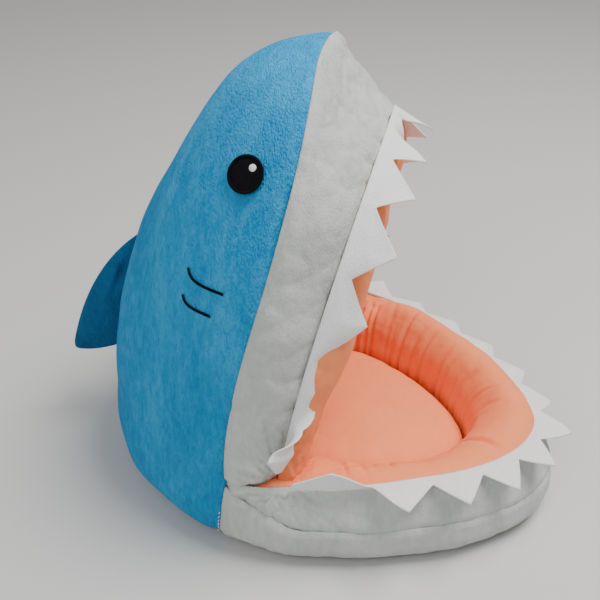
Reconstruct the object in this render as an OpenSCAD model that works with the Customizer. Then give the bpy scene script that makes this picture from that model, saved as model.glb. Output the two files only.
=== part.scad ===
// Plush shark pet bed: a stuffed open-mouthed head that stands on its lower jaw.
// Millimetres. +Z is up, the mouth faces -Y, the shark's right side is -X.

/* [Head] */
// Height of the crown above the floor
head_h = 440; // [400:1:480]
// Width across the cheeks
head_w = 380; // [350:1:420]
// Distance from the mouth corners back to the rear of the head
head_d = 219; // [205:1:250]
// How far behind the mouth corners the coloured cloth starts at the cheeks
cheek_seam = 56; // [44:1:70]
// How far in front of the mouth corners the coloured cloth ends at the crown
crown_seam = 4; // [0:1:20]

/* [Mouth] */
// Width between the mouth corners
mouth_w = 336; // [310:1:350]
// Height of the snout's edge above the floor
snout_h = 372; // [350:1:385]
// How far the snout reaches in front of the mouth corners
snout_reach = 57; // [40:1:75]
// Thickness of the stuffed wall between the outside and the lining
wall_t = 80; // [60:1:90]
// How far the stuffed lip swells in front of the tooth seam
lip_swell = 46; // [30:1:56]

/* [Jaw] */
// Length of the jaw in front of the mouth corners, at its rim seam
jaw_l = 223; // [190:1:260]
// Width of the jaw at its rim seam
jaw_w = 340; // [320:1:352]
// Height of the rim seam above the floor
rim_h = 86; // [76:1:96]
// Height of the seam between the two side bands
side_seam_h = 45; // [35:1:55]
// How far the side swells out past the rim seam
side_swell = 22; // [12:1:28]
// How far the tip of the soft jaw leans to the shark's right
jaw_lean = 40; // [0:1:50]

/* [Bolster and pad] */
// Width of the bolster at the sides
bolster_side = 56; // [48:1:66]
// Width of the bolster at the jaw's tip
bolster_tip = 70; // [58:1:80]
// How far the bolster swells above the rim seam
bolster_swell = 17; // [8:1:22]
// Height of the crease round the pad
crease_h = 46; // [38:1:54]
// Height of the pad at its middle
pad_h = 58; // [50:1:64]

/* [Teeth] */
// Number of upper teeth
upper_teeth_n = 13; // [9:2:17]
// Number of lower teeth
lower_teeth_n = 12; // [8:1:16]
// Plain felt between the seam and the teeth, round the top of the mouth
felt_margin = 13; // [5:1:20]
// Plain felt between the seam and the teeth, along the jaw
jaw_felt_margin = 6; // [4:1:20]
// Height of a tooth above the margin
tooth_h = 28; // [20:1:36]
// Thickness of the felt
felt_t = 1.6; // [1.2:0.1:2.4]

/* [Fin] */
// Height above the floor where the fin's root starts
fin_low = 94; // [90:1:120]
// Height above the floor where the fin's root ends
fin_high = 228; // [200:1:250]
// How far the fin's tip stands out behind the head
fin_reach = 60; // [40:1:75]
// Greatest thickness of the stuffed fin
fin_t = 28; // [18:1:34]

/* [Eyes and gills] */
// Diameter of the embroidered eye
eye_d = 32; // [24:1:40]
// Width of the raised rim round the eye
eye_rim_w = 2.6; // [1.6:0.1:3.2]
// Diameter of the white glint
glint_d = 6; // [4:0.5:8]
// Width of the embroidered gill lines
gill_w = 3; // [2:0.1:4]

/* [Cloth and clearances] */
// Thickness of the cloth with its backing
cloth_t = 2; // [1.5:0.1:3]
// Gap between a cloth and the stuffing behind it
fill_gap = 0.6; // [0.4:0.1:1]
// Gap between the head and the jaw along their seam
split_gap = 1.2; // [0.8:0.1:2]
// Gap between the fin's root and the back of the head
root_gap = 4.5; // [3:0.1:5]

/* [Hidden] */

blue = "#3d9fc9";
white = "#f2f4f5";
peach = "#f7a083";
wadding = "#e9e6df";
black = "#15161a";

head_z = rim_h + split_gap;       // lowest plane of the moving head
dome_h = head_h - head_z;         // height of the head above that plane
lip_h = snout_h - head_z;
cave_back = head_d - wall_t - 6;  // rearmost point of the cave
arch_p = 2.1;                     // fullness of the head seen from the front
lip_p = 2.4;                      // fullness of the mouth's arch
back_low_p = 1.95;                // fullness of the back at the foot of the head
back_high_p = 1.66;               // fullness of the back along its ridge

// ---- small helpers ----
function pw(v, k) = v <= 0 ? 0 : pow(v, k);
function mix(a, b, t) = a + (b - a) * t;
function ease(t) = let (c = min(1, max(0, t))) c * c * (3 - 2 * c);
function unit(v) = v / max(norm(v), 1e-9);
function flat(rows) = [for (r = rows) for (p = r) p];
function steps(a, b, n) = [for (i = [0 : n]) mix(a, b, i / n)];
function part(grid, r0, r1, c0, c1) = [for (i = [r0 : r1]) [for (j = [c0 : c1]) grid[i][j]]];

// Two triangles of a grid cell, without the ones that have no area
function tris(p, a, b, c, d) = concat(
    (p[a] == p[b] || p[b] == p[c] || p[c] == p[a]) ? [] : [[a, b, c]],
    (p[a] == p[c] || p[c] == p[d] || p[d] == p[a]) ? [] : [[a, c, d]]);

// A closed solid between an outer grid and an inner grid; closed: the last row meets the first
module slab(outer, inner, closed = false) {
    n = len(outer);
    m = len(outer[0]);
    p = concat(flat(outer), flat(inner));
    s = n * m;
    last = closed ? n - 1 : n - 2;
    polyhedron(p, concat(
        [for (i = [0 : last], j = [0 : m - 2]) let (k = (i + 1) % n)
            each tris(p, i * m + j, i * m + j + 1, k * m + j + 1, k * m + j)],
        [for (i = [0 : last], j = [0 : m - 2]) let (k = (i + 1) % n)
            each tris(p, s + i * m + j, s + k * m + j, s + k * m + j + 1, s + i * m + j + 1)],
        [for (i = [0 : last], e = [0, 1]) let (k = (i + 1) % n, j = e * (m - 1), a = i * m + j, b = k * m + j)
            each e == 0 ? tris(p, b, s + b, s + a, a) : tris(p, a, s + a, s + b, b)],
        closed ? [] : [for (j = [0 : m - 2]) each tris(p, j, s + j, s + j + 1, j + 1)],
        closed ? [] : [for (j = [0 : m - 2]) let (a = (n - 1) * m + j)
            each tris(p, a + 1, s + a + 1, s + a, a)]), convexity = 8);
}

// A solid lofted through closed loops, with its ends capped unless it is closed on itself
module loft(loops, closed = false) {
    n = len(loops);
    m = len(loops[0]);
    p = flat(loops);
    last = closed ? n - 1 : n - 2;
    polyhedron(p, concat(
        [for (i = [0 : last], j = [0 : m - 1]) let (k = (i + 1) % n, l = (j + 1) % m)
            each tris(p, i * m + j, i * m + l, k * m + l, k * m + j)],
        closed ? [] : [[for (j = [m - 1 : -1 : 0]) j]],
        closed ? [] : [[for (j = [0 : m - 1]) (n - 1) * m + j]]), convexity = 8);
}

// The grid moved inwards by d along its own normals; closed: its rows wrap round
function inset(grid, d, closed = false) = let (n = len(grid), m = len(grid[0])) [for (i = [0 : n - 1]) [
    for (j = [0 : m - 1]) let (
        up = grid[closed ? (i + 1) % n : min(n - 1, i + 1)][j],
        down = grid[closed ? (i + n - 1) % n : max(0, i - 1)][j],
        ahead = grid[i][min(m - 1, j + 1)],
        behind = grid[i][max(0, j - 1)])
    grid[i][j] - d * unit(cross(up - down, ahead - behind))]];

// ---- the head ----
// Every row of head_skin is one meridian from the rear pole over the outside, across the white
// band, round the lip and along the lining to the pole at the back of the cave.
rows_n = 24;
back_n = 9;
band_n = 4;
lip_n = 7;
cave_n = 7;
band_at = back_n;
lip_at = band_at + band_n;
cave_at = lip_at + lip_n;
skin_end = cave_at + cave_n;

function seam_y(s) = mix(cheek_seam, -crown_seam - 2 * (1 - s), (1 - cos(180 * s)) / 2);
function back_p(s) = mix(back_low_p, back_high_p, s);
function back_k(y, s) = pw(1 - pw(abs(y) / head_d, back_p(s)), 1 / back_p(s));
function lip_y(s) = mix(8, -snout_reach, pw(s, 1.25));
function arch(a, p) = let (c = cos(a)) [-sign(c) * pw(abs(c), 2 / p), pw(sin(a), 2 / p)];

function head_seam(a) = let (q = arch(a, arch_p), y = seam_y(q[1]), k = back_k(y, q[1]))
    [q[0] * head_w / 2 * k, y, head_z + dome_h * q[1] * k];
function mouth_edge(a) = let (q = arch(a, lip_p)) [q[0] * mouth_w / 2, lip_y(q[1]), head_z + lip_h * q[1]];
// Outward direction of the mouth's arch, and the frame of the band that leads to it
function arch_out(a) = let (q = arch(a, lip_p)) unit([
    sign(q[0]) * pw(abs(q[0]), lip_p - 1) / mouth_w * 2, 0, pw(q[1], lip_p - 1) / lip_h]);
function band_dir(a) = unit(mouth_edge(a) - head_seam(a));
function band_out(a) = let (g = arch_out(a), e = band_dir(a)) unit(g - (g * e) * e);

function back_pt(a, t) = let (
    q = arch(a, arch_p),
    y0 = seam_y(q[1]),
    p = back_p(q[1]),
    b0 = sign(y0) * asin(pw(abs(y0) / head_d, p / 2)),
    b = mix(90, b0, t),
    k = pw(cos(b), 2 / p))
    [q[0] * head_w / 2 * k, sign(b) * head_d * pw(abs(sin(b)), 2 / p), head_z + dome_h * q[1] * k];
function band_pt(a, t) = mix(head_seam(a), mouth_edge(a), t) + 7 * sin(180 * t) * band_out(a);
function lip_pt(a, t) = let (
    swell = lip_swell * mix(0.72, 1, ease(sin(a) * 2.2)))
    mouth_edge(a) - band_out(a) * wall_t * (1 - cos(180 * t)) / 2 + band_dir(a) * swell * sin(180 * t);
function cave_pt(a, t) = let (m = lip_pt(a, 1), b = 90 * t, k = pw(cos(b), 2 / back_low_p))
    [m[0] * k, mix(m[1], cave_back, pw(sin(b), 2 / back_low_p)), head_z + (m[2] - head_z) * k];

head_skin = [for (i = [0 : rows_n]) let (a = 180 * (1 - i / rows_n)) concat(
    [for (j = [0 : back_n]) back_pt(a, j / back_n)],
    [for (j = [1 : band_n]) band_pt(a, j / band_n)],
    [for (j = [1 : lip_n]) lip_pt(a, j / lip_n)],
    [for (j = [1 : cave_n]) cave_pt(a, j / cave_n)])];

// The head's skin moved inwards; its lowest rows stay in the plane of the seam
function head_in(d) = let (g = inset(head_skin, d)) [for (i = [0 : rows_n]) [for (j = [0 : skin_end])
    j == 0 ? [0, head_d - d, head_z] :
    j == skin_end ? [0, cave_back + d, head_z] :
    (i == 0 || i == rows_n) ? [g[i][j][0], g[i][j][1], head_z] : 
    i == rows_n / 2 ? [0, g[i][j][1], g[i][j][2]] : g[i][j]]];

head_lined = head_in(cloth_t);

module head_cloth(r0, r1, c0, c1) {
    slab(part(head_skin, r0, r1, c0, c1), part(head_lined, r0, r1, c0, c1));
}
module hood_stuffing() color(wadding) placed() loft(head_in(cloth_t + fill_gap));
module right_head_panel() color(blue) placed() head_cloth(rows_n / 2, rows_n, 0, band_at);
module left_head_panel() color(blue) placed() head_cloth(0, rows_n / 2, 0, band_at);
module mouth_band() color(white) placed() head_cloth(0, rows_n, band_at, lip_at);
module mouth_lining() color(peach) placed() head_cloth(0, rows_n, lip_at, skin_end);

// ---- places on the outside of the head, found from y and z ----
function side_s(y, z, s = 0.5, tries = 12) = tries == 0 ? s :
    side_s(y, z, (z - head_z) / dome_h / back_k(y, s), tries - 1);
function side_x(y, z) = let (s = side_s(y, z))
    -head_w / 2 * back_k(y, s) * pw(1 - pw(s, arch_p), 1 / arch_p);
function side_pt(y, z) = [side_x(y, z), y, z];
function side_out(y, z) = unit(cross(side_pt(y, z + 1) - side_pt(y, z - 1),
                                     side_pt(y + 1, z) - side_pt(y - 1, z)));

eye_y = 0.195 * head_d;
eye_z = head_z + 0.772 * dome_h;
eye_t = 1.2;
seat = 1.2; // how far an eye stands off, so that a flat disc clears the round head

module on_eye(lift, right = 0, up = 0) {
    p = side_pt(eye_y, eye_z);
    n = side_out(eye_y, eye_z);
    translate(p + lift * n) rotate([0, acos(n[2]), atan2(n[1], n[0])]) translate([-up, right, 0]) children();
}
module eye_patch() on_eye(seat) cylinder(h = eye_t, d = eye_d - 2 * eye_rim_w - 0.2, $fn = 48);
module eye_rim() on_eye(seat) rotate_extrude($fn = 48)
    translate([eye_d / 2 - eye_rim_w, 0]) square([eye_rim_w, eye_t * 1.6]);
module eye_glint() on_eye(seat + eye_t + 0.05, -eye_d * 0.14, eye_d * 0.2)
    cylinder(h = 0.5, d = glint_d, $fn = 24);

// A tube of the given radius along a list of points, lying on the side of the head
module side_tube(path, r) {
    n = len(path);
    loft([for (i = [0 : n - 1]) let (
        p = side_pt(path[i][0], path[i][1]),
        o = side_out(path[i][0], path[i][1]),
        a = path[max(0, i - 1)],
        b = path[min(n - 1, i + 1)],
        t = unit(side_pt(b[0], b[1]) - side_pt(a[0], a[1])),
        w = cross(t, o))
        [for (k = [0 : 7]) p + o * (r + 1.2 + r * 0.6 * sin(45 * k)) + w * r * cos(45 * k)]]);
}
// A gill line in y and z: it drops from its rear end and curls forwards
function gill(y, z, s) = [for (t = steps(0, 1, 8))
    [y - s * (8 * t + 22 * t * t * t - 2 * t), z - s * 17 * (1 - pow(1 - t, 2.1))]];
module gill_stitches() {
    side_tube(gill(0.41 * head_d, head_z + 0.572 * dome_h, 1), gill_w / 2);
    side_tube(gill(0.43 * head_d, head_z + 0.493 * dome_h, 0.8), gill_w / 2);
}
module right_eye_patch() color(black) placed() eye_patch();
module right_eye_rim() color(black) placed() eye_rim();
module right_eye_glint() color(white) placed() eye_glint();
module right_gill_stitches() color(black) placed() gill_stitches();
module left_eye_patch() color(black) placed() mirror([1, 0, 0]) eye_patch();
module left_eye_rim() color(black) placed() mirror([1, 0, 0]) eye_rim();
module left_eye_glint() color(white) placed() mirror([1, 0, 0]) eye_glint();
module left_gill_stitches() color(black) placed() mirror([1, 0, 0]) gill_stitches();

// ---- felt teeth ----
// Running length along a line of points, as a table for lookup()
function run(pts, i = 0, s = 0) = i >= len(pts) ? [] :
    let (t = i == 0 ? 0 : s + norm(pts[i] - pts[i - 1])) concat([t], run(pts, i + 1, t));
function reach_of(j, margin) = margin + (j % 4 == 0 ? 0 : j % 4 == 2 ? tooth_h : tooth_h / 2);

upper_a = steps(4, 176, 86);
upper_run = run([for (a = upper_a) mouth_edge(a)]);
function upper_at(f) = lookup(f * upper_run[len(upper_run) - 1],
                              [for (i = [0 : len(upper_a) - 1]) [upper_run[i], upper_a[i]]]);
// Each column of felt runs from the seam to the teeth's zigzag: [point, outward direction]
upper_cols = [for (j = [0 : 4 * upper_teeth_n]) let (
    a = upper_at(j / (4 * upper_teeth_n)),
    o = band_out(a),
    t = unit(mouth_edge(a + 1) - mouth_edge(a - 1)),
    d = unit(unit(band_dir(a) - (band_dir(a) * t) * t) + 0.22 * o))
    [for (r = [0, felt_margin, reach_of(j, felt_margin)]) [mouth_edge(a) + 0.5 * o + d * r, unit(o - (o * d) * d)]]];
function felt(cols) = [for (c = cols) [for (q = c) q[0]]];
module upper_teeth() color(white) placed() {
    slab(felt(upper_cols), [for (c = upper_cols) [for (q = c) q[0] + felt_t * q[1]]]);
}

// ---- the jaw, the bolster and the pad ----
// One closed outline: front and rear half widths, front length and rear length
cols_n = 56;
front_seam = asin(pw(cheek_seam / head_d, back_low_p / 2)); // where the side bands meet the rear panels
function outline(u, wf, wb, lf, lb) = let (
    c = cos(u), s = sin(u),
    y = s >= 0 ? -lf * pw(s, 1.316) : lb * pw(-s, 2 / back_low_p),
    k = s >= 0 ? pw(abs(c), 1.136) : pw(abs(c), 2 / back_low_p),
    w = mix(wf, wb, ease((y + 40) / (cheek_seam + 40))))
    [-sign(c) * w * k - jaw_lean * pw(max(0, -y) / jaw_l, 1.6), y];
// Angles round the outline, with the two cheek seams and the middle of the back among them
side_n = 36;
rear_n = 12;
angles = concat(
    [for (i = [0 : side_n - 1]) mix(-front_seam, 180 + front_seam, i / side_n)],
    [for (i = [0 : rear_n - 1]) mix(180 + front_seam, 270, i / rear_n)],
    [for (i = [0 : rear_n - 1]) mix(270, 360 - front_seam, i / rear_n)]);
ring_n = side_n + 2 * rear_n;

// How far the side stands out past the rim, by height, at the front and at the back
front_out = [[0, 0.2], [0.07, 0.7], [0.26, 1], [0.52, 0.92], [0.77, 0.52], [1, 0]];
rear_out = [[0, -0.9], [0.07, -0.4], [0.26, 0.05], [0.52, 0.2], [0.77, 0.14], [1, 0]];
function side_pt_at(u, z) = let (
    f = side_swell * lookup(z / rim_h, front_out),
    b = side_swell * lookup(z / rim_h, rear_out),
    q = outline(u, jaw_w / 2 + f, head_w / 2 + b, jaw_l + f, head_d + b))
    [q[0], q[1], z];
function rim_pt(u) = side_pt_at(u, rim_h);
function crease_pt(u) = outline(u, jaw_w / 2 - bolster_side, head_w / 2 - wall_t - 14,
                                jaw_l - bolster_tip, cave_back);
// Height of the bolster's top: flat under the head, round in front of it
function bolster_pt(u, t) = let (
    r = rim_pt(u), c = crease_pt(u), k = ease((-r[1] - 30) / 60), q = mix(r, [c[0], c[1], 0], t))
    [q[0], q[1], crease_h + (rim_h - crease_h) * (1 - pw(t, mix(6, 2.4, k)))
                 + k * bolster_swell * pw(sin(180 * t), 0.8)];

lower_z = [for (f = [0, 0.1, 0.45, 1]) mix(cloth_t + 0.1, side_seam_h, f)];
upper_z = [for (f = [0.34, 0.68, 1]) mix(side_seam_h, rim_h, f)];
over_n = 7;
seam_at = len(lower_z) - 1;
rim_at = seam_at + len(upper_z);
crease_at = rim_at + over_n;
jaw_skin = [for (u = angles) concat(
    [for (z = lower_z) side_pt_at(u, z)],
    [for (z = upper_z) side_pt_at(u, z)],
    [for (j = [1 : over_n]) bolster_pt(u, j / over_n)])];
function jaw_in(d) = let (g = inset(jaw_skin, d, true)) [for (i = [0 : ring_n - 1]) [for (j = [0 : crease_at])
    j == 0 ? [g[i][j][0], g[i][j][1], jaw_skin[i][0][2]] : g[i][j]]];
jaw_lined = jaw_in(cloth_t);
jaw_skin_round = concat(jaw_skin, [jaw_skin[0]]);
jaw_lined_round = concat(jaw_lined, [jaw_lined[0]]);

module jaw_cloth(r0, r1, c0, c1) {
    slab(part(jaw_skin_round, r0, r1, c0, c1), part(jaw_lined_round, r0, r1, c0, c1));
}
module jaw_lower_band() color(white) placed() jaw_cloth(0, side_n, 0, seam_at);
module jaw_upper_band() color(white) placed() jaw_cloth(0, side_n, seam_at, rim_at);
module left_rear_panel() color(blue) placed() jaw_cloth(side_n, side_n + rear_n, 0, rim_at);
module right_rear_panel() color(blue) placed() jaw_cloth(side_n + rear_n, ring_n, 0, rim_at);
module bolster_cover() color(peach) placed()
    slab([for (r = jaw_skin) [for (j = [rim_at : crease_at]) r[j]]],
         [for (r = jaw_lined) [for (j = [rim_at : crease_at]) r[j]]], closed = true);
module jaw_stuffing() color(wadding) placed() {
    g = jaw_in(cloth_t + fill_gap);
    loft([for (r = g) concat(
        [[r[0][0], r[0][1], cloth_t + fill_gap]],
        [for (j = [1 : crease_at]) r[j]],
        [[r[crease_at][0], r[crease_at][1], cloth_t + fill_gap]])], closed = true);
}
module bottom_panel() color(wadding) placed()
    linear_extrude(cloth_t) polygon([for (u = angles) let (p = side_pt_at(u, 0)) [p[0], p[1]]]);

// The pad fills the space inside the crease
pad_mid = [-jaw_lean * 0.12, 0];
pad_n = 5;
function pad_pt(u, t, drop) = let (c = crease_pt(u), q = mix(pad_mid, c * 0.985, t))
    [q[0], q[1], mix(pad_h, crease_h - 3, pw(t, 2.6)) - drop];
function pad_grid(drop) = [for (u = angles) [for (j = [0 : pad_n]) pad_pt(u, 1 - j / pad_n, drop)]];
module pad_cover() color(peach) placed() slab(pad_grid(0), pad_grid(cloth_t), closed = true);
module pad_filling() color(wadding) placed() {
    top = pad_grid(cloth_t + fill_gap);
    slab(top, [for (r = top) [for (p = r) [p[0], p[1], cloth_t + fill_gap]]], closed = true);
}

lower_u = steps(3, 177, 87);
lower_run = run([for (u = lower_u) rim_pt(u)]);
function lower_at(f) = lookup(f * lower_run[len(lower_run) - 1],
                              [for (i = [0 : len(lower_u) - 1]) [lower_run[i], lower_u[i]]]);
lower_cols = [for (j = [0 : 4 * lower_teeth_n]) let (
        u = lower_at(j / (4 * lower_teeth_n)),
        t = unit(rim_pt(u + 1) - rim_pt(u - 1)),
        o = [-abs(t[1]) * sign(cos(u)), -abs(t[0]), 0],
        drop = 4,
        d = [o[0] * cos(drop), o[1] * cos(drop), -sin(drop)],
        up = [o[0] * sin(drop), o[1] * sin(drop), cos(drop)])
        [for (r = [0, jaw_felt_margin, reach_of(j, jaw_felt_margin)]) [rim_pt(u) + o * 0.6 + up * 1.0 + d * r, up]]];
module lower_teeth() color(white) placed()
    slab(felt(lower_cols), [for (c = lower_cols) [for (q = c) q[0] + felt_t * q[1]]]);

// Hand stitches that close the seam at the foot of the right cheek
module closing_stitches() color(white) placed()
    for (i = [0 : 4]) let (z = mix(side_seam_h * 0.55, side_seam_h * 1.15, i / 4), p = side_pt_at(-front_seam, z))
        translate(p + [-1.4, 0, 0]) rotate([90 + 18, 0, 0]) cylinder(h = 7, d = 1.2, center = true, $fn = 16);

// ---- the fin ----
function ridge_y(z) = head_d * pw(1 - pw((z - head_z) / dome_h, back_high_p), 1 / back_high_p);
fin_tip = [head_d + fin_reach, fin_low - 14];
fin_top = [ridge_y(fin_high) + root_gap, fin_high];
fin_foot = [ridge_y(fin_low) + root_gap, fin_low];
function bend(a, c, b, t) = mix(mix(a, c, t), mix(c, b, t), t);
function fin_root(w) = let (z = mix(fin_high, fin_low, w)) [ridge_y(z) + root_gap, z];
function fin_yz(v, w) = let (
    lead = bend(fin_top, fin_tip + [-36, 100], fin_tip, v),
    trail = bend(fin_foot, fin_tip + [-30, -2], fin_tip + [-6, -6], v),
    root = fin_root(w),
    line = mix(fin_top, fin_foot, w))
    mix(lead, trail, w) + (root - line) * (1 - v);
function fin_half(v, w) = (fin_t / 2 - cloth_t) * pw(sin(180 * w), 0.6)
    * mix(0.3, 1, ease(v / 0.3)) * pw(1 - pw(v, 2.2), 0.6);
fin_v = [0, 0.08, 0.18, 0.3, 0.45, 0.6, 0.75, 0.88, 1];
fin_w = steps(0, 1, 10);
function fin_grid(side, grow, cut = 0) = [for (v = fin_v) [for (w = fin_w) let (
    q = fin_yz(mix(0.01, 1, v * (1 - cut)) - (cut > 0 ? 0 : 0.01 * (1 - v)), mix(cut, 1 - cut, w)))
    [side * max(0, fin_half(v * (1 - cut), mix(cut, 1 - cut, w)) + grow), q[0], q[1]]]];
module fin_right_face() color(blue) placed() slab(fin_grid(-1, 0), fin_grid(-1, cloth_t));
module fin_left_face() color(blue) placed() slab(fin_grid(1, cloth_t), fin_grid(1, 0));
module fin_stuffing() color(wadding) placed() slab(fin_grid(1, -fill_gap, 0.1), fin_grid(-1, -fill_gap, 0.1));

// The shapes above stand with the mouth corners' line at y = 0. placed() puts the origin under the
// middle of the whole part's box.
teeth_pts = flat(felt(lower_cols));
box_x = concat([for (p = teeth_pts) p[0]], [-head_w / 2, head_w / 2]);
box_y = concat([for (p = teeth_pts) p[1]], [fin_tip[0]]);
middle = [(min(box_x) + max(box_x)) / 2, (min(box_y) + max(box_y)) / 2, 0];
module placed() translate(-middle) children();

hood_stuffing();
right_head_panel();
left_head_panel();
mouth_band();
mouth_lining();
upper_teeth();
right_eye_patch();
right_eye_rim();
right_eye_glint();
right_gill_stitches();
left_eye_patch();
left_eye_rim();
left_eye_glint();
left_gill_stitches();
fin_stuffing();
fin_right_face();
fin_left_face();
bottom_panel();
jaw_stuffing();
jaw_lower_band();
jaw_upper_band();
right_rear_panel();
left_rear_panel();
bolster_cover();
lower_teeth();
pad_filling();
pad_cover();
closing_stitches();
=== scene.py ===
import math

import bmesh
import bpy
import numpy as np
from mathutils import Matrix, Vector, noise


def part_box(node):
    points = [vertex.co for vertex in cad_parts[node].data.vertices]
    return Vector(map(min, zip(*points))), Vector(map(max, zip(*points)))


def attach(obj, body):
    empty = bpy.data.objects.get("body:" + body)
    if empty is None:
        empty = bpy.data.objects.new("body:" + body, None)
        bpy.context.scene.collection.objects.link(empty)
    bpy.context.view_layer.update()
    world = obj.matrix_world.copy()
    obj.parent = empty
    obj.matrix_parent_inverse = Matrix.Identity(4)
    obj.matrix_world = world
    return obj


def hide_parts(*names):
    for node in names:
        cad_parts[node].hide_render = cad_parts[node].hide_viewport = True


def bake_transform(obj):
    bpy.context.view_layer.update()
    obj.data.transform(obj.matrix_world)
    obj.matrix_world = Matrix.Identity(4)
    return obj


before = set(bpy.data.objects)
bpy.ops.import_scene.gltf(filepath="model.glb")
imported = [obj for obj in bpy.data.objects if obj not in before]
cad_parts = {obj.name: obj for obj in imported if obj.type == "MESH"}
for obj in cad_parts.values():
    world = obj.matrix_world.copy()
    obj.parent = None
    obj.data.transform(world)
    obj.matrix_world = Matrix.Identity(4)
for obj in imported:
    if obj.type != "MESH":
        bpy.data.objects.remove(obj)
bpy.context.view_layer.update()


# small helpers

def mix(a, b, t):
    return a + (b - a) * t


def ease(t):
    t = np.clip(t, 0, 1)
    return t * t * (3 - 2 * t)


def power(v, k):
    return np.power(np.maximum(v, 0), k)


def unit(v):
    return v / np.maximum(np.linalg.norm(v, axis=-1, keepdims=True), 1e-12)


def bell(distance, width):
    return np.exp(-(distance / width) ** 2)


def smoothTable(x, table):
    # a table of points, read along x and rounded off
    fine = np.linspace(-0.2, 1.2, 281)
    values = np.interp(fine, [p[0] for p in table], [p[1] for p in table])
    values = np.convolve(np.pad(values, 12, mode="edge"), np.hanning(27)[1:-1] / 13, "valid")
    return np.interp(x, fine, values)


def cloudNoise(points, size, seed, octaves=2):
    # smooth noise from -1 to 1 at every point, with lumps of that size in metres
    shift = Vector((seed * 7.31, seed * 3.17, seed * 5.77))
    flatPoints = points.reshape(-1, 3) / size
    values = [noise.fractal(Vector(p) + shift, 1.0, 2.0, octaves) for p in flatPoints.tolist()]
    return np.array(values).reshape(points.shape[:-1])


def creaseNoise(points, size, seed):
    # thin valleys between rounded lumps, from 0 in the valleys to 1
    return np.abs(cloudNoise(points, size, seed, 1)) ** 0.6


def normalsOf(grid, closedRows=False):
    if closedRows:
        along = np.roll(grid, -1, axis=0) - np.roll(grid, 1, axis=0)
    else:
        along = np.gradient(grid, axis=0)
    return unit(np.cross(along, np.gradient(grid, axis=1)))


def seamDistance(grid):
    # distance along each row from its first and from its last point
    steps = np.linalg.norm(np.diff(grid, axis=1), axis=-1)
    run = np.concatenate([np.zeros((len(grid), 1)), np.cumsum(steps, axis=1)], axis=1)
    return run, run[:, -1:] - run


def finishMesh(name, vertices, faces, material, smooth=True):
    mesh = bpy.data.meshes.new(name)
    mesh.from_pydata([tuple(v) for v in vertices], [], faces)
    shape = bmesh.new()
    shape.from_mesh(mesh)
    bmesh.ops.remove_doubles(shape, verts=shape.verts, dist=0.00005)
    bmesh.ops.recalc_face_normals(shape, faces=shape.faces)
    if shape.calc_volume(signed=True) < 0:
        bmesh.ops.reverse_faces(shape, faces=shape.faces)
    shape.to_mesh(mesh)
    shape.free()
    for face in mesh.polygons:
        face.use_smooth = smooth
    piece = bpy.data.objects.new(name, mesh)
    bpy.context.scene.collection.objects.link(piece)
    mesh.materials.append(material)
    return piece


def shell(name, outer, inner, material, closedRows=False):
    # a closed wall between two grids of the same size
    rows, cols = outer.shape[:2]
    count = rows * cols
    vertices = np.concatenate([outer.reshape(-1, 3), inner.reshape(-1, 3)])
    faces = []
    last = rows if closedRows else rows - 1
    for i in range(last):
        k = (i + 1) % rows
        for j in range(cols - 1):
            a, b, c, d = i * cols + j, i * cols + j + 1, k * cols + j + 1, k * cols + j
            faces.append((a, b, c, d))
            faces.append((count + a, count + d, count + c, count + b))
        for j in (0, cols - 1):
            a, b = i * cols + j, k * cols + j
            faces.append((a, b, count + b, count + a) if j == 0 else (b, a, count + a, count + b))
    if not closedRows:
        for i in (0, rows - 1):
            for j in range(cols - 1):
                a, b = i * cols + j, i * cols + j + 1
                faces.append((b, a, count + a, count + b) if i == 0 else (a, b, count + b, count + a))
    return finishMesh(name, vertices, faces, material)


def clothShell(name, grid, material, lift, closedRows=False, thickness=0.0022):
    # the grid moved outwards by lift, with a cloth's thickness behind it
    out = normalsOf(grid, closedRows)
    outer = grid + out * lift[..., None]
    return shell(name, outer, outer - out * thickness, material, closedRows)


# materials

def groupSockets(tree, inputs, outputs):
    for name, kind, value in inputs:
        socket = tree.interface.new_socket(name=name, in_out="INPUT", socket_type=kind)
        socket.default_value = value
    for name, kind in outputs:
        tree.interface.new_socket(name=name, in_out="OUTPUT", socket_type=kind)
    return tree.nodes.new("NodeGroupInput"), tree.nodes.new("NodeGroupOutput")


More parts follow.
